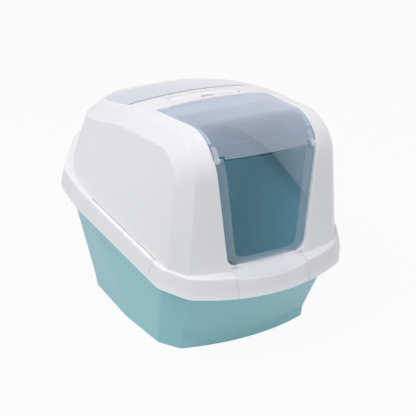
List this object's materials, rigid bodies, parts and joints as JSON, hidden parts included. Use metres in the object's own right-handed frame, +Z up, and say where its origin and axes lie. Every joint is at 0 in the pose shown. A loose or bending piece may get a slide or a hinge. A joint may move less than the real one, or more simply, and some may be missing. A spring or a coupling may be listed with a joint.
{
  "type": "covered litter box",
  "caption": "Covered litter box: a tub with a sloping rim, a latched hood, a tinted visor with a swing door, a rear roof compartment and a folding carry handle.",
  "frame": {"origin": "middle of the object's box, on the floor", "axes": "+Z up, +X to the object's left side as seen from the front, the door faces -Y"},
  "size_m": [0.4942, 0.624, 0.464],
  "materials": {
    "white_plastic": "moulded, fine satin",
    "teal_plastic": "moulded, satin",
    "smoke_plastic": "tinted see-through, polished",
    "clear_plastic": "clear, polished",
    "carbon_foam": "open-cell foam"
  },
  "bodies": {
    "box": {"tray": "teal_plastic", "hood": "white_plastic", "front_sill": "white_plastic", "visor_pins": "white_plastic", "rear_panel_pins": "white_plastic", "handle_pins": "white_plastic", "latch_pins_left": "white_plastic", "latch_pins_right": "white_plastic", "filter_grille": "white_plastic", "carbon_filter": "carbon_foam", "filter_clips": "white_plastic"},
    "visor": {"visor": "smoke_plastic", "door_pivot_left": "clear_plastic", "door_pivot_right": "clear_plastic"},
    "door": {"swing_door": "smoke_plastic"},
    "rear_lid": {"rear_panel": "smoke_plastic"},
    "handle": {"carry_handle": "white_plastic"},
    "latch_left": {"latch_left": "white_plastic"},
    "latch_right": {"latch_right": "white_plastic"}
  },
  "joints": [
    {"name": "visor_hinge", "type": "hinge", "parent": "box", "child": "visor", "pos_m": [0, -0.074, 0.45182], "axis": [-1, 0, 0], "range_deg": [0, 95]},
    {"name": "door_swing", "type": "hinge", "parent": "visor", "child": "door", "pos_m": [0, -0.26212, 0.408], "axis": [1, 0, 0], "range_deg": [-56, 80]},
    {"name": "rear_lid_hinge", "type": "hinge", "parent": "box", "child": "rear_lid", "pos_m": [0, 0.028, 0.44174], "axis": [1, 0, 0], "range_deg": [0, 85]},
    {"name": "handle_hinge", "type": "hinge", "parent": "box", "child": "handle", "pos_m": [0, -0.014, 0.45369], "axis": [-1, 0, 0], "range_deg": [0, 90]},
    {"name": "latch_left_hinge", "type": "hinge", "parent": "box", "child": "latch_left", "pos_m": [-0.21578, -0.08769, 0.23263], "axis": [-0.1237, 0.9628, 0.2401], "range_deg": [0, 55]},
    {"name": "latch_right_hinge", "type": "hinge", "parent": "box", "child": "latch_right", "pos_m": [0.21578, -0.08769, 0.23263], "axis": [-0.1237, -0.9628, -0.2401], "range_deg": [0, 55]}
  ]
}
